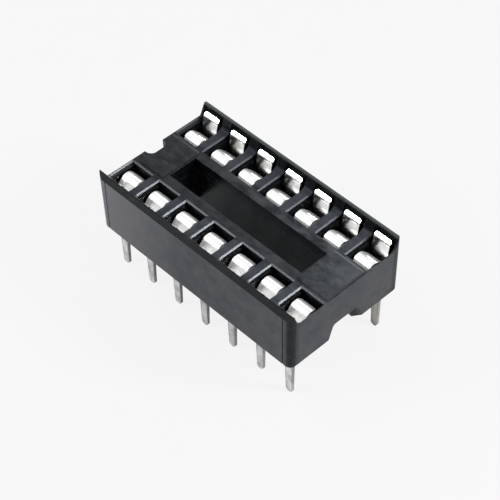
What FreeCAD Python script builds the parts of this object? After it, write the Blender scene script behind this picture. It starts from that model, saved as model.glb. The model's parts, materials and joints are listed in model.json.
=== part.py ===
import FreeCAD, Part
import math
import os
import re

import Sketcher

# Low-profile socket for a fourteen-lead dual-in-line chip.
# X runs along the body with the polarity notch at -X, Y across the two rows, +Z up.
# The origin is under the middle of the body, level with the tips of the solder tails.

Vector = FreeCAD.Vector

# how near two places are to count as one, and how small a sketch size counts as nothing
SAME_PLACE = 1e-4
NO_SIZE = 1e-9
FACING_BACK = 180
FACING_FORWARD = 0

DRIVING_SIZES = {
    # leads and rows
    "contact_pitch": 2.54,
    "row_spacing": 7.62,
    "contacts_per_row": 7,
    # housing outside; the end gap lets sockets stand end to end on one pitch
    "body_end_gap": 0.42,
    "wall_beyond_row": 0.92,
    "end_draft": 0.10,
    "seat_height": 3.62,
    "wall_height": 4.65,
    "corner_radius": 0.45,
    "seam_from_end": 0.70,
    "seam_width": 0.08,
    "seam_depth": 0.05,
    # long walls above the deck
    "deck_above_seat": 3.71,
    "rim_width": 0.11,
    "bevel_width": 0.13,
    "bevel_height": 0.48,
    "slope_width": 0.46,
    "slope_foot_rise": 0.12,
    "slope_foot_run": 0.12,
    "slope_bend_reach": 0.14,
    # ladder deck and the cell of each contact
    "cell_length": 1.81,
    "cell_ledge": 0.10,
    "cell_ledge_drop": 0.30,
    "cell_inward_reach": 1.91,
    "edge_chamfer": 0.10,
    "edge_chamfer_angle": 45,
    "chamfer_to_slope": 0.08,
    "wall_behind_contact": 0.29,
    "floor_recess": 0.30,
    "floor_thickness": 0.43,
    "recess_inward_reach": 1.11,
    "recess_outward_reach": 0.39,
    "recess_end_wall": 0.60,
    # middle window, end pads and notch
    "end_land": 2.78,
    "rail_width": 0.77,
    "pad_to_cell": 0.30,
    "pad_rise": 0.08,
    "pad_to_window": 0.14,
    "pad_to_notch": 0.05,
    "notch_width": 1.52,
    "notch_depth": 0.60,
    "notch_radius": 0.50,
    # archway under each end: a mouth that narrows through the end wall, then a hollow short of the window
    "archway_mouth": 3.20,
    "archway_roof": 2.37,
    "archway_height": 1.15,
    "archway_radius": 0.32,
    "archway_wall": 0.47,
    "archway_narrowing": 0.70,
    "archway_web": 0.60,
    # contact, formed from one strip; heights are above the floor of the cell
    "strip_thickness": 0.20,
    "leaf_to_cell": 0.245,
    "bend_radius": 0.22,
    "outer_root": 0.49,
    "outer_knee_rise": 0.75,
    "outer_knee_radius": 0.80,
    "outer_touch": 0.17,
    "outer_touch_rise": 2.40,
    "outer_touch_radius": 1.20,
    "outer_flare": 0.33,
    "outer_flare_rise": 3.22,
    "outer_flare_radius": 0.22,
    "outer_lip": 0.53,
    "outer_lip_rise": 3.42,
    "lip_corner_radius": 0.14,
    "inner_root": 0.68,
    "inner_touch": 0.06,
    "inner_touch_rise": 1.70,
    "inner_touch_radius": 0.30,
    "arch_top": 1.10,
    "arch_top_rise": 2.77,
    "arch_radius": 0.50,
    "arch_end": 1.62,
    "arch_end_rise": 2.28,
    "arch_corner_radius": 0.36,
    "ear_run": 0.56,
    "ear_clearance": 0.02,
    # solder tail
    "tail_width": 0.68,
    "tail_end_width": 0.50,
    "tail_taper_above_tip": 2.90,
    "tail_tip_radius": 0.24,
    "tail_slot_clearance": 0.05,
}

DERIVED_SIZES = {
    "body_length": "=contacts_per_row * contact_pitch - body_end_gap",
    "body_width": "=row_spacing + 2 * wall_beyond_row",
    "half_length": "=body_length / 2",
    "half_width": "=body_width / 2",
    "half_row": "=row_spacing / 2",
    "rim_height": "=seat_height + wall_height",
    "bevel_foot": "=rim_height - bevel_height",
    "deck_height": "=seat_height + deck_above_seat",
    "floor_top": "=seat_height + floor_recess + floor_thickness",
    "cell_outer_edge": "=half_width - wall_behind_contact",
    "row_length": "=(contacts_per_row - 1) * contact_pitch",
    "leaf_width": "=cell_length - 2 * leaf_to_cell",
    "strip_middle": "=strip_thickness / 2",
    "slope_top": "=half_width - bevel_width - rim_width",
    "slope_foot": "=slope_top - slope_width",
    "slope_rise": "=rim_height - deck_height - slope_foot_rise",
    "slope_angle": "=atan2(slope_rise; slope_width - slope_foot_run)",
    "foot_angle": "=atan2(slope_foot_rise; slope_foot_run)",
    "slope_radius": "=slope_bend_reach / tan((slope_angle - foot_angle) / 2)",
    "cell_inner_edge": "=half_row - cell_inward_reach",
    "chamfer_end": "=slope_foot - chamfer_to_slope",
    "recess_inner_edge": "=half_row - recess_inward_reach",
    "recess_outer_edge": "=half_row + recess_outward_reach",
    "window_length": "=body_length - 2 * end_land",
    "window_width": "=2 * (cell_inner_edge - rail_width)",
    "pad_width": "=2 * (cell_inner_edge - pad_to_cell)",
}

SIZE_NAMES = set(DRIVING_SIZES) | set(DERIVED_SIZES)


def add_sheet(document):
    """Write every size into a spreadsheet; derived cells are formulas on the driving ones."""
    sheet = document.addObject("Spreadsheet::Sheet", "Sizes")
    row = 1
    for alias, content in list(DRIVING_SIZES.items()) + list(DERIVED_SIZES.items()):
        sheet.set("A%d" % row, alias)
        sheet.set("B%d" % row, str(content))
        sheet.setAlias("B%d" % row, alias)
        row += 1
    document.recompute()


def formula(text):
    """Point every size name in a formula at its cell."""
    return re.sub(r"[a-z_]+", lambda word: "Sizes." + word[0] if word[0] in SIZE_NAMES else word[0], text)


def value(item, text):
    return float(item.evalExpression(formula(text)))


def bind(item, property_path, text):
    item.setExpression(property_path, formula(text))


def origin_feature(body, role):
    return [feature for feature in body.Origin.OriginFeatures if feature.Role == role][0]


def add_sketch(body, name, plane, height="0"):
    """A sketch on one of the body's own planes, moved along its normal by a bound height."""
    sketch = body.newObject("Sketcher::SketchObject", name)
    sketch.AttachmentSupport = [(origin_feature(body, plane), "")]
    sketch.MapMode = "FlatFace"
    bind(sketch, ".AttachmentOffset.Base.z", height)
    return sketch


def fix_point(sketch, geometry, end, across, up):
    """Hold one point of a sketch at a place given by two formulas."""
    for kind, axis, text in (("DistanceX", -2, across), ("DistanceY", -1, up)):
        size = value(sketch, text)
        if abs(size) < NO_SIZE:
            sketch.addConstraint(Sketcher.Constraint("PointOnObject", geometry, end, axis))
        else:
            number = sketch.addConstraint(Sketcher.Constraint(kind, -1, 1, geometry, end, size))
            bind(sketch, "Constraints[%d]" % number, text)


class Corner:
    """A corner of an outline: where its two sides would meet, and the arc that rounds it."""

    def __init__(self, sketch, corner):
        self.across, self.up = corner[:2]
        self.bend = corner[2] if len(corner) > 2 else None
        self.point = Vector(value(sketch, self.across), value(sketch, self.up), 0)
        self.radius = value(sketch, self.bend) if self.bend else 0.0
        self.entry = self.point
        self.leave = self.point
        self.arc = None

    def round_off(self, before, after):
        """Find where the arc touches the two sides, and the arc itself."""
        inward = (self.point - before).normalize()
        outward = (after - self.point).normalize()
        turn = inward.getAngle(outward)
        setback = self.radius * math.tan(turn / 2)
        self.entry = self.point - inward * setback
        self.leave = self.point + outward * setback
        self.turns_left = inward.cross(outward).z > 0
        side = Vector(-inward.y, inward.x, 0) * (1 if self.turns_left else -1)
        centre = self.entry + side * self.radius
        first, last = (self.entry, self.leave) if self.turns_left else (self.leave, self.entry)
        first_angle = math.atan2(first.y - centre.y, first.x - centre.x)
        last_angle = math.atan2(last.y - centre.y, last.x - centre.x)
        circle = Part.Circle(centre, Vector(0, 0, 1), self.radius)
        self.arc = Part.ArcOfCircle(circle, first_angle, last_angle)


def draw(sketch, corners, closed=True):
    """Draw straight sides between corners, rounded where a corner names a radius."""
    corners = [Corner(sketch, corner) for corner in corners]
    count = len(corners)
    for number, corner in enumerate(corners):
        if corner.bend:
            corner.round_off(corners[number - 1].point, corners[(number + 1) % count].point)
    sides = []
    for number in range(count if closed else count - 1):
        start, end = corners[number].leave, corners[(number + 1) % count].entry
        sides.append(sketch.addGeometry(Part.LineSegment(start, end)))
    for number, corner in enumerate(corners):
        if not closed and number == count - 1:
            fix_point(sketch, sides[-1], 2, corner.across, corner.up)
            continue
        side_after = sides[number]
        if not closed and number == 0:
            fix_point(sketch, side_after, 1, corner.across, corner.up)
            continue
        side_before = sides[number - 1]
        if not corner.bend:
            sketch.addConstraint(Sketcher.Constraint("Coincident", side_before, 2, side_after, 1))
            fix_point(sketch, side_after, 1, corner.across, corner.up)
            continue
        arc = sketch.addGeometry(corner.arc)
        entry_end, leave_end = (1, 2) if corner.turns_left else (2, 1)
        sketch.addConstraint(Sketcher.Constraint("Tangent", side_before, 2, arc, entry_end))
        sketch.addConstraint(Sketcher.Constraint("Tangent", arc, leave_end, side_after, 1))
        radius = sketch.addConstraint(Sketcher.Constraint("Radius", arc, corner.radius))
        bind(sketch, "Constraints[%d]" % radius, corner.bend)
        meeting = sketch.addGeometry(Part.Point(corner.point), True)
        sketch.addConstraint(Sketcher.Constraint("PointOnObject", meeting, 1, side_before))
        sketch.addConstraint(Sketcher.Constraint("PointOnObject", meeting, 1, side_after))
        fix_point(sketch, meeting, 1, corner.across, corner.up)


def draw_box(sketch, left, right, low, high):
    draw(sketch, [(left, low), (right, low), (right, high), (left, high)])


def add_pad(body, name, sketch, length, both_ways=False):
    pad = body.newObject("PartDesign::Pad", name)
    pad.Profile = sketch
    pad.SideType = "Symmetric" if both_ways else "One side"
    bind(pad, "Length", length)
    return pad


def add_pocket(body, name, sketch, length=None, reverse=False, both_ways=False, flare=None):
    """Cut a sketch away, to a bound depth or right through, with sides that may slope."""
    pocket = body.newObject("PartDesign::Pocket", name)
    pocket.Profile = sketch
    if both_ways:
        pocket.SideType = "Symmetric"
    pocket.Reversed = reverse
    if length is None:
        pocket.Type = "ThroughAll"
    else:
        bind(pocket, "Length", length)
    if flare:
        bind(pocket, "TaperAngle", flare)
    return pocket


def straight_edges(feature, test):
    """Names of the straight edges whose two ends pass a test."""
    names = []
    for number, edge in enumerate(feature.Shape.Edges, 1):
        ends = [vertex.Point for vertex in edge.Vertexes]
        if len(ends) == 2 and test(ends[0], ends[1]):
            names.append("Edge%d" % number)
    return names


def add_outside(body):
    """The long block with its raised side walls, drafted ends and rounded upright corners."""
    section = add_sketch(body, "wall_section", "YZ_Plane")
    one_side = [
        ("half_width", "seat_height"),
        ("half_width", "bevel_foot"),
        ("half_width - bevel_width", "rim_height"),
        ("slope_top", "rim_height"),
        ("slope_foot + slope_foot_run", "deck_height + slope_foot_rise", "slope_radius"),
        ("slope_foot", "deck_height"),
    ]
    other_side = [("-(%s)" % corner[0],) + corner[1:] for corner in reversed(one_side)]
    draw(section, one_side + other_side)
    add_pad(body, "walls_and_deck", section, "body_length", both_ways=True)

    draft = add_sketch(body, "end_draft_profile", "XZ_Plane")
    for sign in ("", "-"):
        foot = sign + "(half_length - end_draft)"
        top = sign + "half_length"
        clear = sign + "(half_length + corner_radius)"
        draw(draft, [
            (foot, "seat_height"),
            (clear, "seat_height"),
            (clear, "rim_height"),
            (top, "rim_height"),
        ])
    trimmed = add_pocket(body, "end_draft_cut", draft, both_ways=True)
    body.Document.recompute()

    half_width = value(body, "half_width")
    seat_height = value(body, "seat_height")
    bevel_foot = value(body, "bevel_foot")

    def same(one, other):
        return abs(one - other) < SAME_PLACE

    def is_upright_corner(first, second):
        low, high = sorted((first, second), key=lambda point: point.z)
        on_side = same(abs(low.y), half_width) and same(abs(high.y), half_width)
        return on_side and same(low.z, seat_height) and same(high.z, bevel_foot)

    corners = body.newObject("PartDesign::Fillet", "upright_corners")
    corners.Base = (trimmed, straight_edges(trimmed, is_upright_corner))
    bind(corners, "Radius", "corner_radius")


def add_seams(body):
    """The upright parting lines where the flat of each long wall meets its rounded ends."""
    seams = add_sketch(body, "seam_plan", "XY_Plane", "seat_height")
    for along in ("", "-"):
        for across in ("", "-"):
            draw_box(
                seams,
                along + "(half_length - seam_from_end)",
                along + "(half_length - seam_from_end - seam_width)",
                across + "(half_width - seam_depth)",
                across + "(half_width + seam_depth)",
            )
    add_pocket(body, "parting_seams", seams, "bevel_foot - seat_height", reverse=True)


def add_arch_section(body, name, place, narrowing):
    """One arched outline across the body, its sides moved toward the middle."""
    foot = "archway_mouth / 2 - %s" % narrowing
    crown = "archway_roof / 2 - %s" % narrowing
    roof = "seat_height + archway_height"
    section = add_sketch(body, name, "YZ_Plane", place)
    draw(section, [
        ("-(%s)" % foot, "seat_height"),
        (foot, "seat_height"),
        (crown, roof, "archway_radius"),
        ("-(%s)" % crown, roof, "archway_radius"),
    ])
    return section


def add_archway(body, name, sign, reverse):
    """The narrowing mouth in one end wall, and the hollow behind it."""
    mouth = add_arch_section(body, name + "_mouth", sign + "half_length", "0")
    throat_place = sign + "(half_length - archway_wall)"
    throat = add_arch_section(body, name + "_throat", throat_place, "archway_narrowing")
    splay = body.newObject("PartDesign::SubtractiveLoft", name + "_splay")
    splay.Profile = mouth
    splay.Sections = [throat]
    splay.Ruled = True
    add_pocket(body, name + "_hollow", throat, "end_land - archway_web - archway_wall", reverse=reverse)


def add_middle(body):
    """The window between the rows, the archways under the ends, the end pads and the notch."""
    window = add_sketch(body, "window_plan", "XY_Plane", "rim_height")
    draw_box(window, "-window_length / 2", "window_length / 2", "-window_width / 2", "window_width / 2")
    add_pocket(body, "window", window)

    add_archway(body, "right_archway", "", reverse=False)
    add_archway(body, "left_archway", "-", reverse=True)

    pads = add_sketch(body, "pad_plan", "XY_Plane", "deck_height")
    pad_start = "window_length / 2 + pad_to_window"
    draw_box(pads, pad_start, "half_length - end_draft", "-pad_width / 2", "pad_width / 2")
    draw_box(
        pads,
        "-(%s)" % pad_start,
        "-(half_length - notch_depth - pad_to_notch)",
        "-pad_width / 2",
        "pad_width / 2",
    )
    add_pad(body, "end_pads", pads, "pad_rise")

    notch = add_sketch(body, "notch_plan", "XY_Plane", "rim_height")
    deepest = "-(half_length - notch_depth)"
    outside = "-(half_length + notch_depth)"
    draw(notch, [
        (outside, "-notch_width / 2"),
        (deepest, "-notch_width / 2", "notch_radius"),
        (deepest, "notch_width / 2", "notch_radius"),
        (outside, "notch_width / 2"),
    ])
    add_pocket(body, "polarity_notch", notch)


def add_cells(body):
    """One cell of each row, cut down to its floor, then repeated along the rows."""
    first_x = "-row_length / 2"
    features = []

    def row_boxes(name, height, half_run, inner, outer):
        plan = add_sketch(body, name, "XY_Plane", height)
        for across in ("", "-"):
            draw_box(
                plan,
                "%s - (%s)" % (first_x, half_run),
                "%s + (%s)" % (first_x, half_run),
                "%s(%s)" % (across, inner),
                "%s(%s)" % (across, outer),
            )
        return plan

    mouth = row_boxes("mouth_plan", "rim_height", "cell_length / 2", "cell_inner_edge", "cell_outer_edge")
    mouth_depth = "rim_height - deck_height + cell_ledge_drop"
    features.append(add_pocket(body, "cell_mouth", mouth, mouth_depth))

    well_half = "cell_length / 2 - cell_ledge"
    well = row_boxes("well_plan", "rim_height", well_half, "cell_inner_edge", "cell_outer_edge")
    features.append(add_pocket(body, "cell_well", well, "rim_height - floor_top"))

    chamfer_half = "cell_length / 2 + edge_chamfer"
    chamfer_start = "cell_inner_edge - edge_chamfer"
    edge = row_boxes("edge_plan", "deck_height", chamfer_half, chamfer_start, "chamfer_end")
    features.append(add_pocket(body, "cell_edge", edge, "edge_chamfer", flare="-edge_chamfer_angle"))

    slot_half = "tail_width / 2 + tail_slot_clearance"
    slot_reach = "strip_thickness / 2 + tail_slot_clearance"
    slot = row_boxes(
        "slot_plan", "rim_height", slot_half, "half_row - (%s)" % slot_reach, "half_row + (%s)" % slot_reach
    )
    features.append(add_pocket(body, "tail_slot", slot))

    repeat = body.newObject("PartDesign::LinearPattern", "cells")
    repeat.Originals = features
    repeat.Direction = (origin_feature(body, "X_Axis"), [""])
    bind(repeat, "Length", "row_length")
    bind(repeat, "Occurrences", "contacts_per_row")
    body.Tip = repeat


def add_underside(body):
    """The shallow recess under each row that keeps the floor off the board."""
    recess = add_sketch(body, "recess_plan", "XY_Plane", "seat_height")
    run = "half_length - end_draft - recess_end_wall"
    for across in ("", "-"):
        draw_box(
            recess,
            "-(%s)" % run,
            run,
            across + "recess_inner_edge",
            across + "recess_outer_edge",
        )
    add_pocket(body, "row_recess", recess, "floor_recess", reverse=True)


def make_housing(document):
    body = document.addObject("PartDesign::Body", "housing")
    body.Label = "housing"
    document.recompute()
    add_outside(body)
    add_seams(body)
    add_middle(body)
    add_underside(body)
    document.recompute()
    add_cells(body)
    return body


def add_strip(body, name, path_corners):
    """Bend the strip along a path in the side view that starts level in the middle of the base."""
    path = add_sketch(body, name + "_path", "YZ_Plane")
    draw(path, path_corners, closed=False)
    section = add_sketch(body, name + "_section", "XZ_Plane")
    draw_box(section, "-leaf_width / 2", "leaf_width / 2", "0", "strip_thickness")
    strip = body.newObject("PartDesign::AdditivePipe", name)
    strip.Profile = section
    strip.Spine = path
    return strip


def round_leaf_end(body, name, base, across, rise, radius):
    """Round the two corners at the free end of a leaf."""
    body.Document.recompute()
    end_across = value(body, across)
    end_rise = value(body, rise)

    def is_end_corner(first, second):
        middle = (first + second) / 2
        return math.hypot(middle.y - end_across, middle.z - end_rise) < SAME_PLACE

    rounded = body.newObject("PartDesign::Fillet", name)
    rounded.Base = (base, straight_edges(base, is_end_corner))
    bind(rounded, "Radius", radius)
    return rounded


def make_contact(document, number, along, across, outward_angle):
    """One dual-leaf contact; its own Y points outward and its own Z starts on the cell floor."""
    body = document.addObject("PartDesign::Body", "contact_%02d" % number)
    body.Label = "contact_%02d" % number
    document.recompute()

    add_strip(body, "outer_leaf", [
        ("0", "strip_middle"),
        ("outer_root", "strip_middle", "bend_radius"),
        ("outer_root", "outer_knee_rise", "outer_knee_radius"),
        ("outer_touch", "outer_touch_rise", "outer_touch_radius"),
        ("outer_flare", "outer_flare_rise", "outer_flare_radius"),
        ("outer_lip", "outer_lip_rise"),
    ])
    leaves = add_strip(body, "inner_leaf", [
        ("0", "strip_middle"),
        ("-inner_root", "strip_middle", "bend_radius"),
        ("-inner_touch", "inner_touch_rise", "inner_touch_radius"),
        ("-arch_top", "arch_top_rise", "arch_radius"),
        ("-arch_end", "arch_end_rise"),
    ])
    lip = round_leaf_end(body, "lip_corners", leaves, "outer_lip", "outer_lip_rise", "lip_corner_radius")
    round_leaf_end(body, "arch_corners", lip, "-arch_end", "arch_end_rise", "arch_corner_radius")

    ears = add_sketch(body, "ear_plan", "XY_Plane")
    ear_reach = "cell_length / 2 - cell_ledge - ear_clearance"
    draw_box(ears, "-(%s)" % ear_reach, ear_reach, "-ear_run / 2", "ear_run / 2")
    add_pad(body, "ears", ears, "strip_thickness")

    blade = add_sketch(body, "tail_front", "XZ_Plane")
    taper_start = "tail_taper_above_tip - floor_top"
    draw(blade, [
        ("-tail_width / 2", "strip_middle"),
        ("-tail_width / 2", taper_start),
        ("-tail_end_width / 2", "-floor_top", "tail_tip_radius"),
        ("tail_end_width / 2", "-floor_top", "tail_tip_radius"),
        ("tail_width / 2", taper_start),
        ("tail_width / 2", "strip_middle"),
    ])
    add_pad(body, "tail", blade, "strip_thickness", both_ways=True)

    bind(body, "Placement.Base.x", along)
    bind(body, "Placement.Base.y", across)
    bind(body, "Placement.Base.z", "floor_top")
    body.Placement.Rotation = FreeCAD.Rotation(Vector(0, 0, 1), outward_angle)
    return body


def make_contacts(document, per_row):
    """Number the contacts as the leads are numbered: along the front row, back along the other."""
    contacts = []
    for step in range(per_row):
        along = "%d * contact_pitch - row_length / 2" % step
        contacts.append(make_contact(document, step + 1, along, "-half_row", FACING_BACK))
    for step in range(per_row):
        along = "row_length / 2 - %d * contact_pitch" % step
        number = per_row + step + 1
        contacts.append(make_contact(document, number, along, "half_row", FACING_FORWARD))
    return contacts


def check_volumes(body):
    """Every pad and bent strip adds material, and every other feature takes some away."""
    volume = 0.0
    for feature in body.Group:
        if not feature.isDerivedFrom("PartDesign::Feature"):
            continue
        change = feature.Shape.Volume - volume
        adds = feature.TypeId in ("PartDesign::Pad", "PartDesign::AdditivePipe")
        if (change < SAME_PLACE) if adds else (change > -SAME_PLACE):
            raise RuntimeError("%s changes %s by %.4f" % (feature.Label, body.Label, change))
        volume = feature.Shape.Volume


def check_document(document, parts):
    for item in document.Objects:
        for state in ("Invalid", "Error"):
            if state in item.State:
                raise RuntimeError("%s is %s" % (item.Name, state))
    for part in parts:
        if part.Shape.isNull() or not part.Shape.isValid():
            raise RuntimeError("%s has no valid shape" % part.Label)
        if len(part.Shape.Solids) != 1:
            raise RuntimeError("%s is %d solids" % (part.Label, len(part.Shape.Solids)))
        check_volumes(part)


def main():
    document = FreeCAD.newDocument("chip_socket")
    add_sheet(document)
    parts = [make_housing(document)]
    parts += make_contacts(document, DRIVING_SIZES["contacts_per_row"])
    document.recompute()
    check_document(document, parts)
    os.makedirs("parts", exist_ok=True)
    for part in parts:
        part.Shape.exportStep(os.path.join("parts", part.Label + ".step"))
        box = part.Shape.BoundBox
        print(part.Label, "volume %.3f" % part.Shape.Volume, "from z %.2f to %.2f" % (box.ZMin, box.ZMax))


main()
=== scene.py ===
import json
import math
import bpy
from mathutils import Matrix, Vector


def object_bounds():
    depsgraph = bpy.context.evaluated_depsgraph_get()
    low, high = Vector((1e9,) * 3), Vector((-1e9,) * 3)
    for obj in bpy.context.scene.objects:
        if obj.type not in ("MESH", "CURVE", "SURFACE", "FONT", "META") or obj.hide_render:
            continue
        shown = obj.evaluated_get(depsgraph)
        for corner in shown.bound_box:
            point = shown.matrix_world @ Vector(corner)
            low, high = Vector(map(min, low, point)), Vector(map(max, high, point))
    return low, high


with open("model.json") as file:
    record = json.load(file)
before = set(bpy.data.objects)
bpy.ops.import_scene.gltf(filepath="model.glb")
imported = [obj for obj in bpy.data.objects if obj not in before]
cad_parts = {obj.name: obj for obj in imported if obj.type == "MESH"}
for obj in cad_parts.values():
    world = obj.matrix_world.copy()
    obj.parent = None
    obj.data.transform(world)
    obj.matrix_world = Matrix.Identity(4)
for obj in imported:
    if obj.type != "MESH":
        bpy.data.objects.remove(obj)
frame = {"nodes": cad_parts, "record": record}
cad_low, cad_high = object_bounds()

from types import SimpleNamespace

import bpy
from mathutils import Matrix, Vector

MM = 0.001
IMAGE_SIZE = 500

# Camera, fitted to the photograph's outline, rungs and tail tips, in degrees, millimetres and pixels.
CAMERA_AZIMUTH = 47.3509
CAMERA_ELEVATION = 47.0299
CAMERA_ROLL = -1.6266
CAMERA_DISTANCE = 107.0283
CAMERA_ACROSS = 0.0651
CAMERA_UP = 2.7346
FOCAL_PIXELS = 1642.9983
SENSOR_WIDTH = 36.0
CLIP_NEAR = 5.0
CLIP_FAR = 5000.0

# Surroundings, in millimetres. A plain share is how much of the pale background a ray sees in place of the lit
# floor.
PALE_BACKGROUND = (0.933, 0.933, 0.933, 1)
FLOOR_HALF_SIZE = 600.0
FLOOR_TONES = (0.86, 0.90)
FLOOR_SEEN_PLAIN = 0.92
FLOOR_MIRRORED_PLAIN = 0.02
ROOM_COLOUR = (0.94, 0.97, 1.0, 1)
ROOM_AT_HORIZON = 0.0
ROOM_OVERHEAD = 0.62
LAMPS_AIM = 6.0

# The body's levels and reaches in millimetres, from the frame, and the places of its rows and cells in part.py.
MOUNT_PLACES = {mount["name"]: mount["pos_m"] for mount in frame["record"]["mounts"]}
SEAT, DECK, PAD = (MOUNT_PLACES[name][2] / MM for name in ("board_seat", "lead_entries", "chip_seat"))
HALF_LENGTH, HALF_WIDTH, RIM = (reach / MM for reach in cad_high)
PITCH = 2.54
HALF_ROW = 3.81
CELL_EDGE = 1.90


def past(level, start, end):
    """A span that starts and ends so far past a level."""
    return level + start, level + end


# Where each finish of the moulding begins and where it is full: along X and across Y from the body's middle, and up
# from the floor.
LONG_FACE = past(HALF_WIDTH, -0.21, -0.14)
END_FACE = past(HALF_LENGTH, -0.239, -0.149)
END_FACE_TOP = past(DECK, -0.16, -0.11)
LEFT_HALF = (0.0, -1.0)
# Painted shade: the rounded corners at the +X end are left out of the paler wall finish, so they stay dark.
NEAR_CORNER_ALONG = past(HALF_LENGTH, -0.669, -0.349)
NEAR_CORNER_ACROSS = past(HALF_WIDTH, -0.78, -0.38)
RIM_BEVEL_FOOT = past(RIM, -0.53, -0.47)
RIM_TOP = past(RIM, -0.17, -0.09)
BACK_HALF = (0.0, 1.0)
# Painted reflection: over this span along X the long faces turn paler towards the left end.
WALL_REFLECTION_FADE = (-9.0, -1.0)
DECK_EDGE = past(DECK, -0.10, -0.03)
DECK_FACE = past(DECK, -0.008, -0.002)
PAD_FACE = past(PAD, 0.01, 0.07)
SLOPE_FOOT_UP = past(DECK, 0.13, 0.23)
SLOPE_FOOT_ACROSS = past(HALF_ROW, -0.07, -0.01)
RIBS_ACROSS = past(CELL_EDGE, 0.10, 0.30)
CELLS_ACROSS = past(CELL_EDGE, 0.08, 0.16)
CHAMFERS_UP = past(DECK, -0.105, -0.095)
CHAMFERS_ACROSS = past(CELL_EDGE, 0.0, 0.05)
FRONT_TO_BACK = (-1.0, 1.0)
FILM_ALONG = (-8.6, 8.6)
FILM_ACROSS = (-CELL_EDGE, 0.3)
RIGHT_PAD_ALONG = (5.5, 8.5)
# Painted highlight: where the paler line along the pads' back edges lies, and how it fades towards the left.
PAD_BACK_EDGE = CELL_EDGE - 0.34
PAD_EDGE_WIDTH = (0.04, 0.11)
PAD_EDGE_ALONG = (6.0, 6.1)
PAD_EDGE_FADE = (-8.5, 6.0)
SOFT_EDGE_RADIUS = 0.022

# The same on the contacts. The tails' darker sides are a share of the pitch off the tail's middle.
LEAVES_ACROSS = past(HALF_ROW, -0.21, -0.06)
LEAVES_UP = past(SEAT, 0.58, 0.98)
TAILS_UP = past(SEAT, -0.22, 0.58)
BACK_TAILS_ACROSS = (0.0, 2.0)
TAIL_SIDE_SPAN = (0.07, 0.12)

# Colours, linear. A pair is what a noise runs between.
RESIN = ((0.0015, 0.0020, 0.0028, 1), (0.0060, 0.0068, 0.0082, 1))
ERODED = ((0.044, 0.045, 0.053, 1), (0.070, 0.069, 0.075, 1))
FILM = ((0.006, 0.008, 0.010, 1), (0.060, 0.064, 0.071, 1))
BLACK = (0, 0, 0, 1)
RIB_SHEEN = (0.052, 0.055, 0.072, 1)
RIGHT_PAD_FILM = (0.088, 0.094, 0.102, 1)
# Painted reflection, a paler tone on the long faces towards the left end.
PAINTED_WALL_REFLECTION = (0.150, 0.149, 0.158, 1)
SCUFF = (0.070, 0.076, 0.080, 1)
# Painted highlight, a paler line along the back rim's top.
PAINTED_RIM_HIGHLIGHT = (0.100, 0.108, 0.104, 1)
# Partly wear and partly painted highlight, a paler tone on edges where the surface turns and along the pads' back
# edges.
EDGE_WEAR_AND_HIGHLIGHT = (0.170, 0.190, 0.198, 1)
DUST = (0.20, 0.21, 0.21, 1)
PLASTIC_GLOSS = 0.18
PLASTIC_GLOSS_TINT = (0.88, 0.95, 1.0, 1)

TIN = ((0.93, 0.93, 0.92, 1), (0.98, 0.98, 0.975, 1))
# Tail tin, duller and darker than the leaves' tin, partly as painted shade.
DULL_AND_SHADED_TAIL_TIN = ((0.50, 0.50, 0.51, 1), (0.92, 0.92, 0.93, 1))
# Stain colour: faint real stains over the tin, and on the outer leaves also a painted reflection of the dark walls
# beside them.
TIN_STAIN_AND_LEAF_SHADE = (0.55, 0.51, 0.43, 1)
# A darker tin towards each tail's side edges.
TAIL_SIDE_TIN = (0.16, 0.16, 0.17, 1)
# Painted shade, a browner darker tin for the back row's tails.
BACK_TAIL_PAINTED_SHADE = (0.42, 0.38, 0.31, 1)

# The Mix node's colour sockets, which share their names with its other kinds.
MIX_FIRST, MIX_SECOND, MIX_RESULT = 6, 7, 2


def make_camera():
    """The photograph's own viewpoint."""
    azimuth, elevation, roll = (
        math.radians(angle) for angle in (CAMERA_AZIMUTH, CAMERA_ELEVATION, CAMERA_ROLL)
    )
    back = Vector((
        math.sin(azimuth) * math.cos(elevation),
        -math.cos(azimuth) * math.cos(elevation),
        math.sin(elevation),
    ))
    level_right = (-back).cross(Vector((0, 0, 1))).normalized()
    level_up = level_right.cross(-back)
    right = math.cos(roll) * level_right + math.sin(roll) * level_up
    up = -math.sin(roll) * level_right + math.cos(roll) * level_up
    place = (back * CAMERA_DISTANCE + right * CAMERA_ACROSS + up * CAMERA_UP) * MM

    lens = bpy.data.cameras.new("camera")
    lens.sensor_width = SENSOR_WIDTH
    lens.lens = FOCAL_PIXELS / IMAGE_SIZE * SENSOR_WIDTH
    lens.clip_start = CLIP_NEAR * MM
    lens.clip_end = CLIP_FAR * MM
    camera = bpy.data.objects.new("camera", lens)
    turn = Matrix((right, up, back)).transposed().to_4x4()
    camera.matrix_world = Matrix.Translation(place) @ turn
    bpy.context.scene.collection.objects.link(camera)
    bpy.context.scene.camera = camera


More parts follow.
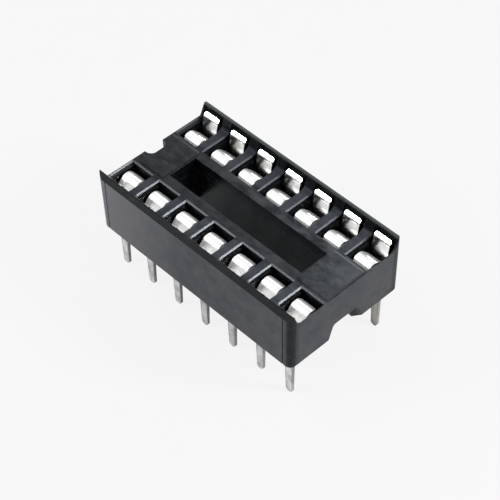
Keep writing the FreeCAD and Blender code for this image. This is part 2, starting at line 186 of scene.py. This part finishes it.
class Graph:
    """A node material or world under construction. A share is a value that runs from 0 to 1."""

    def __init__(self, owner):
        owner.use_nodes = True
        self.tree = owner.node_tree
        self.tree.nodes.clear()

    def feed(self, node, socket, source):
        """Link a source to a socket, or set the socket to a number or colour."""
        if isinstance(source, bpy.types.NodeSocket):
            self.tree.links.new(source, node.inputs[socket])
        else:
            node.inputs[socket].default_value = source

    def add(self, kind, inputs=None, **settings):
        node = self.tree.nodes.new(kind)
        for name, setting in settings.items():
            setattr(node, name, setting)
        for socket, source in (inputs or {}).items():
            self.feed(node, socket, source)
        return node

    def place(self, stretch=(1, 1, 1)):
        """Object coordinates in millimetres, stretched along the axes."""
        here = self.add("ShaderNodeTexCoord").outputs["Object"]
        scale = [part / MM for part in stretch]
        return self.add("ShaderNodeMapping", {"Vector": here, "Scale": scale}).outputs["Vector"]

    def along(self, axis):
        """How far up an axis a point lies, in millimetres."""
        return self.add("ShaderNodeSeparateXYZ", {"Vector": self.place()}).outputs[axis]

    def size_along(self, axis):
        """How far a point lies from the middle along an axis, in millimetres."""
        return self.math("ABSOLUTE", self.along(axis))

    def noise(self, scale, detail, roughness=0.55, stretch=(1, 1, 1)):
        return self.add("ShaderNodeTexNoise", {
            "Vector": self.place(stretch),
            "Scale": scale,
            "Detail": detail,
            "Roughness": roughness,
        }).outputs["Fac"]

    def math(self, operation, first, second=0.0, clamp=False):
        return self.add("ShaderNodeMath", {0: first, 1: second}, operation=operation, use_clamp=clamp).outputs[0]

    def spread(self, source, span, at_start=0.0, at_end=1.0):
        """Map a span of a value onto another, held at its ends."""
        start, end = span
        return self.add("ShaderNodeMapRange", {
            "Value": source,
            "From Min": start,
            "From Max": end,
            "To Min": at_start,
            "To Max": at_end,
        }).outputs["Result"]

    def between(self, share, at_none, at_full):
        """A number that follows a share."""
        return self.spread(share, (0.0, 1.0), at_none, at_full)

    def fade(self, source, span):
        """A share that is full up to a span of a value and gone after it."""
        return self.spread(source, span, 1.0, 0.0)

    def product(self, *factors):
        result = factors[0]
        for factor in factors[1:]:
            result = self.math("MULTIPLY", result, factor)
        return result

    def total(self, *terms):
        result = terms[0]
        for term in terms[1:]:
            result = self.math("ADD", result, term)
        return result

    def rest_of(self, share):
        return self.math("SUBTRACT", 1.0, share)

    def blend(self, share, first, second):
        node = self.add("ShaderNodeMix", {"Factor": share}, data_type="RGBA")
        self.feed(node, MIX_FIRST, first)
        self.feed(node, MIX_SECOND, second)
        return node.outputs[MIX_RESULT]

    def edge(self, radius):
        """High where the surface turns sharply within a radius, and the softened normal there."""
        soft = self.add("ShaderNodeBevel", {"Radius": radius * MM}, samples=8).outputs["Normal"]
        flat = self.add("ShaderNodeNewGeometry").outputs["Normal"]
        likeness = self.add("ShaderNodeVectorMath", {0: soft, 1: flat}, operation="DOT_PRODUCT").outputs["Value"]
        return self.math("SUBTRACT", 1.0, likeness, clamp=True), soft

    def bump(self, height, distance, strength, normal=None):
        inputs = {"Height": height, "Distance": distance * MM, "Strength": strength}
        if normal:
            inputs["Normal"] = normal
        return self.add("ShaderNodeBump", inputs).outputs["Normal"]


def moulding_places(graph):
    """Shares that are each full on one place of the moulding."""
    along, across, up = (graph.along(axis) for axis in "XYZ")
    length_off, width_off = graph.size_along("X"), graph.size_along("Y")
    on = SimpleNamespace()

    on.long_face = graph.spread(width_off, LONG_FACE)
    left_end_top = graph.product(graph.spread(up, END_FACE_TOP), graph.spread(along, LEFT_HALF))
    on.end_face = graph.product(graph.spread(length_off, END_FACE), graph.rest_of(left_end_top))
    on_wall = graph.math("MAXIMUM", on.long_face, on.end_face)
    on.outside = graph.product(on_wall, graph.fade(up, RIM_BEVEL_FOOT))
    # Painted shade: the rounded corners at the +X end keep the dark resin instead of the paler wall finish.
    shaded_right_end_corners = graph.product(
        graph.spread(along, NEAR_CORNER_ALONG), graph.spread(width_off, NEAR_CORNER_ACROSS)
    )
    on.flat_outside = graph.product(on.outside, graph.rest_of(shaded_right_end_corners))

    on.top = graph.product(graph.spread(up, DECK_EDGE), graph.rest_of(on_wall))
    on.slope_foot = graph.product(
        on.top, graph.fade(up, SLOPE_FOOT_UP), graph.spread(width_off, SLOPE_FOOT_ACROSS)
    )
    on.deck = graph.product(on.top, graph.fade(up, PAD_FACE))
    on.deck_face = graph.product(on.deck, graph.spread(up, DECK_FACE))
    on.ribs = graph.product(on.deck, graph.spread(width_off, RIBS_ACROSS))
    on.chamfers = graph.product(
        graph.math("SUBTRACT", graph.spread(up, CHAMFERS_UP), on_wall, clamp=True),
        graph.fade(up, DECK_FACE),
        graph.spread(width_off, CHAMFERS_ACROSS),
    )
    on.back_rim = graph.product(graph.spread(up, RIM_TOP), graph.spread(across, BACK_HALF))

    # Painted highlight: a paler line along the pads' back edges, fainter towards the left.
    off_edge = graph.math("ABSOLUTE", graph.math("SUBTRACT", across, PAD_BACK_EDGE))
    on.pad_edge = graph.product(
        on.deck,
        graph.fade(off_edge, PAD_EDGE_WIDTH),
        graph.spread(length_off, PAD_EDGE_ALONG),
        graph.spread(along, PAD_EDGE_FADE, 0.35, 1.0),
    )
    return on


def moulding_colour(graph, on, noises, turning):
    """Black resin, paler where spark erosion roughened the mould, under a film fainter towards the left and front,
    a painted sheen on the ribs, a painted reflection on the long faces, scuffs, wear with painted highlights and
    dust; the end faces and the rounded corners at the +X end are painted in shade.
    """
    along = graph.along("X")
    film_fainter_at_front = graph.math(
        "MAXIMUM",
        graph.spread(graph.along("Y"), FILM_ACROSS, 0.58, 1.0),
        graph.spread(graph.size_along("Y"), CELLS_ACROSS),
    )
    wall_colour = graph.blend(graph.spread(noises.mottle, (0.38, 0.62)), *ERODED)
    # Painted shade: the end faces are darkened against the long faces.
    wall_colour = graph.blend(graph.product(on.end_face, 0.22), wall_colour, BLACK)
    film = graph.blend(graph.spread(noises.flow, (0.38, 0.62)), *FILM)

    layers = (
        (on.flat_outside, wall_colour),
        # The deck's film runs fainter towards the left end and towards the front of the pads.
        (graph.product(on.deck, graph.spread(along, FILM_ALONG, 0.28, 1.15), film_fainter_at_front), film),
        (graph.product(on.ribs, 0.45), RIB_SHEEN),
        # The deck turns paler towards the right pad, less so at the front of the pads.
        (graph.product(on.deck, graph.spread(along, RIGHT_PAD_ALONG, 0.0, 0.4), film_fainter_at_front), RIGHT_PAD_FILM),
        # Painted reflection: the long faces turn paler towards the left end.
        (graph.product(on.flat_outside, graph.fade(along, WALL_REFLECTION_FADE), on.long_face), PAINTED_WALL_REFLECTION),
        (graph.product(noises.scuffs, 0.35), SCUFF),
        # Painted highlight: a paler line along the back rim's top.
        (graph.product(on.back_rim, 0.8), PAINTED_RIM_HIGHLIGHT),
        # Partly wear and partly painted highlight: edges where the surface turns are paler.
        (graph.product(graph.spread(turning, (0.03, 0.20), 0.0, 0.60), on.top), EDGE_WEAR_AND_HIGHLIGHT),
        # Painted highlight along the pads' back edges.
        (graph.product(on.pad_edge, 0.62), EDGE_WEAR_AND_HIGHLIGHT),
        (graph.product(noises.specks, on.top, 0.4), DUST),
    )
    colour = graph.blend(graph.spread(noises.mottle, (0.30, 0.70)), *RESIN)
    for share, layer in layers:
        colour = graph.blend(share, colour, layer)
    return colour


def moulding_roughness(graph, on, noises):
    """Satin on the deck, duller outside and on scuffs, smoothest on the cells' side chamfers."""
    polish = graph.spread(graph.along("Y"), FRONT_TO_BACK, -0.10, 0.0)
    return graph.total(
        graph.spread(noises.grain, (0.3, 0.7), 0.19, 0.28),
        graph.product(on.outside, 0.12),
        graph.product(noises.scuffs, 0.10),
        graph.product(on.slope_foot, 0.35),
        graph.product(on.deck_face, 0.15),
        graph.product(on.chamfers, polish),
    )


def housing_material():
    """Black moulded plastic."""
    material = bpy.data.materials.new("moulded_black_plastic")
    graph = Graph(material)
    noises = SimpleNamespace(
        mottle=graph.noise(1.0, detail=6.0, roughness=0.65),
        flow=graph.noise(1.3, detail=5.0, roughness=0.6, stretch=(0.8, 1.3, 1.3)),
        grain=graph.noise(9.0, detail=3.0, roughness=0.6),
        scuffs=graph.spread(graph.noise(2.2, detail=6.0, roughness=0.7, stretch=(0.5, 1.5, 1.5)), (0.56, 0.70)),
        specks=graph.spread(graph.noise(7.0, detail=1.0), (0.77, 0.80)),
    )
    on = moulding_places(graph)
    turning, soft_normal = graph.edge(SOFT_EDGE_RADIUS)
    normal = graph.bump(noises.flow, distance=0.02, strength=0.30, normal=soft_normal)
    normal = graph.bump(noises.grain, distance=0.006, strength=graph.between(on.outside, 0.25, 0.60), normal=normal)

    shader = graph.add("ShaderNodeBsdfPrincipled", {
        "Base Color": moulding_colour(graph, on, noises, turning),
        "Roughness": moulding_roughness(graph, on, noises),
        "Specular IOR Level": PLASTIC_GLOSS,
        "Specular Tint": PLASTIC_GLOSS_TINT,
        "Normal": normal,
    })
    graph.add("ShaderNodeOutputMaterial", {"Surface": shader.outputs["BSDF"]})
    return material


def off_tail_middle(graph):
    """How far a point lies from the middle of its tail, as a share of the pitch."""
    steps = graph.math("MULTIPLY", graph.along("X"), 1 / PITCH)
    step = graph.math("FRACT", graph.math("ADD", steps, 0.5))
    return graph.math("ABSOLUTE", graph.math("SUBTRACT", step, 0.5))


def contact_material():
    """Bright tin on a rolled strip: faint lines along it, stains that on the outer leaves also stand as a painted
    reflection of the dark walls, duller tails partly painted darker as shade, the back row's tails painted in
    shade, and tails darker towards their side edges.
    """
    material = bpy.data.materials.new("bright_tin_strip")
    graph = Graph(material)
    rolled = graph.noise(9.0, detail=3.0, roughness=0.6, stretch=(1.0, 0.12, 0.08))
    clouds = graph.noise(1.6, detail=5.0, roughness=0.6)
    stains = graph.spread(graph.noise(1.3, detail=6.0, roughness=0.65), (0.50, 0.66))

    on_tail = graph.fade(graph.along("Z"), TAILS_UP)
    on_back_tail = graph.product(on_tail, graph.spread(graph.along("Y"), BACK_TAILS_ACROSS))
    on_outer_leaf = graph.product(
        graph.spread(graph.size_along("Y"), LEAVES_ACROSS), graph.spread(graph.along("Z"), LEAVES_UP)
    )

    # The tails are duller and darker than the leaves, partly as painted shade.
    tail = graph.blend(graph.spread(clouds, (0.35, 0.65)), *DULL_AND_SHADED_TAIL_TIN)
    # The tails darken towards their side edges.
    tail = graph.blend(graph.spread(off_tail_middle(graph), TAIL_SIDE_SPAN, 0.0, 0.75), tail, TAIL_SIDE_TIN)
    colour = graph.blend(graph.spread(clouds, (0.3, 0.7)), *TIN)
    # Stains: faint over all the tin, and six times stronger on the outer leaves as a painted reflection of the dark
    # walls beside them.
    colour = graph.blend(graph.product(stains, graph.between(on_outer_leaf, 0.10, 0.60)), colour, TIN_STAIN_AND_LEAF_SHADE)
    colour = graph.blend(on_tail, colour, tail)
    # Painted shade: the back row's tails are darkened and browned.
    colour = graph.blend(graph.product(on_back_tail, 0.60), colour, BACK_TAIL_PAINTED_SHADE)

    roughness = graph.total(
        graph.spread(rolled, (0.3, 0.7), 0.16, 0.20),
        graph.product(stains, 0.06),
        graph.product(on_tail, 0.04),
        graph.between(on_outer_leaf, 0.10, 0.0),
    )
    normal = graph.bump(rolled, distance=0.0008, strength=0.06)
    normal = graph.bump(clouds, distance=0.004, strength=0.15, normal=normal)

    shader = graph.add("ShaderNodeBsdfPrincipled", {
        "Base Color": colour,
        "Roughness": roughness,
        "Normal": normal,
        "Metallic": graph.between(on_outer_leaf, 0.60, 0.98),
    })
    graph.add("ShaderNodeOutputMaterial", {"Surface": shader.outputs["BSDF"]})
    return material


def seen_or_mirrored(graph, seen_share=1.0, mirrored_share=1.0):
    """A share for rays from the camera, and one for rays that a mirror or glass sends on."""
    path = graph.add("ShaderNodeLightPath").outputs
    mirrored = graph.math("ADD", path["Is Glossy Ray"], path["Is Transmission Ray"])
    mirrored = graph.math("MULTIPLY", mirrored, mirrored_share)
    seen = graph.math("MULTIPLY", path["Is Camera Ray"], seen_share)
    return graph.math("ADD", seen, mirrored, clamp=True)


def make_floor():
    """A pale table level with the tips of the tails, mostly plain paper to the camera."""
    half = FLOOR_HALF_SIZE * MM
    mesh = bpy.data.meshes.new("floor")
    corners = [(-half, -half, 0), (half, -half, 0), (half, half, 0), (-half, half, 0)]
    mesh.from_pydata(corners, [], [(0, 1, 2, 3)])
    floor = bpy.data.objects.new("floor", mesh)
    bpy.context.scene.collection.objects.link(floor)

    material = bpy.data.materials.new("pale_floor")
    graph = Graph(material)
    grain = graph.spread(graph.noise(0.4, detail=6.0), (0.3, 0.7), *FLOOR_TONES)
    tone = graph.add("ShaderNodeCombineColor", {"Red": grain, "Green": grain, "Blue": grain}).outputs["Color"]
    matte = graph.add("ShaderNodeBsdfDiffuse", {"Color": tone}).outputs["BSDF"]
    plain = graph.add("ShaderNodeEmission", {"Color": PALE_BACKGROUND, "Strength": 1.0}).outputs["Emission"]
    share = seen_or_mirrored(graph, FLOOR_SEEN_PLAIN, FLOOR_MIRRORED_PLAIN)
    surface = graph.add("ShaderNodeMixShader", {0: share, 1: matte, 2: plain}).outputs["Shader"]
    graph.add("ShaderNodeOutputMaterial", {"Surface": surface})
    mesh.materials.append(material)


def make_world():
    """A room lit from overhead, which looks like plain paper to the eye and in mirrors."""
    world = bpy.data.worlds.new("studio")
    bpy.context.scene.world = world
    graph = Graph(world)
    direction = graph.add("ShaderNodeTexCoord").outputs["Generated"]
    height = graph.add("ShaderNodeSeparateXYZ", {"Vector": direction}).outputs["Z"]
    light = graph.spread(height, (0.0, 1.0), ROOM_AT_HORIZON, ROOM_OVERHEAD)
    room = graph.add("ShaderNodeBackground", {"Color": ROOM_COLOUR, "Strength": light}).outputs["Background"]
    plain = graph.add("ShaderNodeBackground", {"Color": PALE_BACKGROUND, "Strength": 1.0}).outputs["Background"]
    surface = graph.add("ShaderNodeMixShader", {0: seen_or_mirrored(graph), 1: room, 2: plain}).outputs["Shader"]
    graph.add("ShaderNodeOutputWorld", {"Surface": surface})


def make_lamp(name, toward, distance, width, height, glow):
    """A soft box that faces the middle of the body; glow 1 would look plain white."""
    lamp = bpy.data.lights.new(name, "AREA")
    lamp.shape = "RECTANGLE"
    lamp.size = width * MM
    lamp.size_y = height * MM
    lamp.energy = glow * math.pi * lamp.size * lamp.size_y
    holder = bpy.data.objects.new(name, lamp)
    away = Vector(toward).normalized()
    holder.location = Vector((0, 0, LAMPS_AIM * MM)) + away * distance * MM
    holder.rotation_euler = away.to_track_quat("Z", "Y").to_euler()
    bpy.context.scene.collection.objects.link(holder)


def make_lights():
    """Soft boxes placed where the edges of the cells and the arches of the contacts mirror them."""
    make_lamp("key_left", toward=(-0.50, -0.73, 0.46), distance=130, width=34, height=34, glow=16.0)
    make_lamp("edge_right", toward=(0.738, 0.392, 0.548), distance=130, width=24, height=44, glow=36.0)
    make_lamp("soft_left", toward=(-0.55, -0.35, 0.75), distance=150, width=100, height=100, glow=1.5)
    make_lamp("soft_back", toward=(-0.52, 0.78, 0.33), distance=150, width=80, height=80, glow=1.3)


def dress_parts():
    """Give every moulded and stamped piece its finish."""
    plastic = housing_material()
    tin = contact_material()
    for name, part in frame["nodes"].items():
        for slot in part.material_slots:
            slot.material = plastic if name == "housing" else tin


bpy.context.scene.view_settings.view_transform = "Standard"
make_camera()
make_floor()
make_world()
make_lights()
dress_parts()
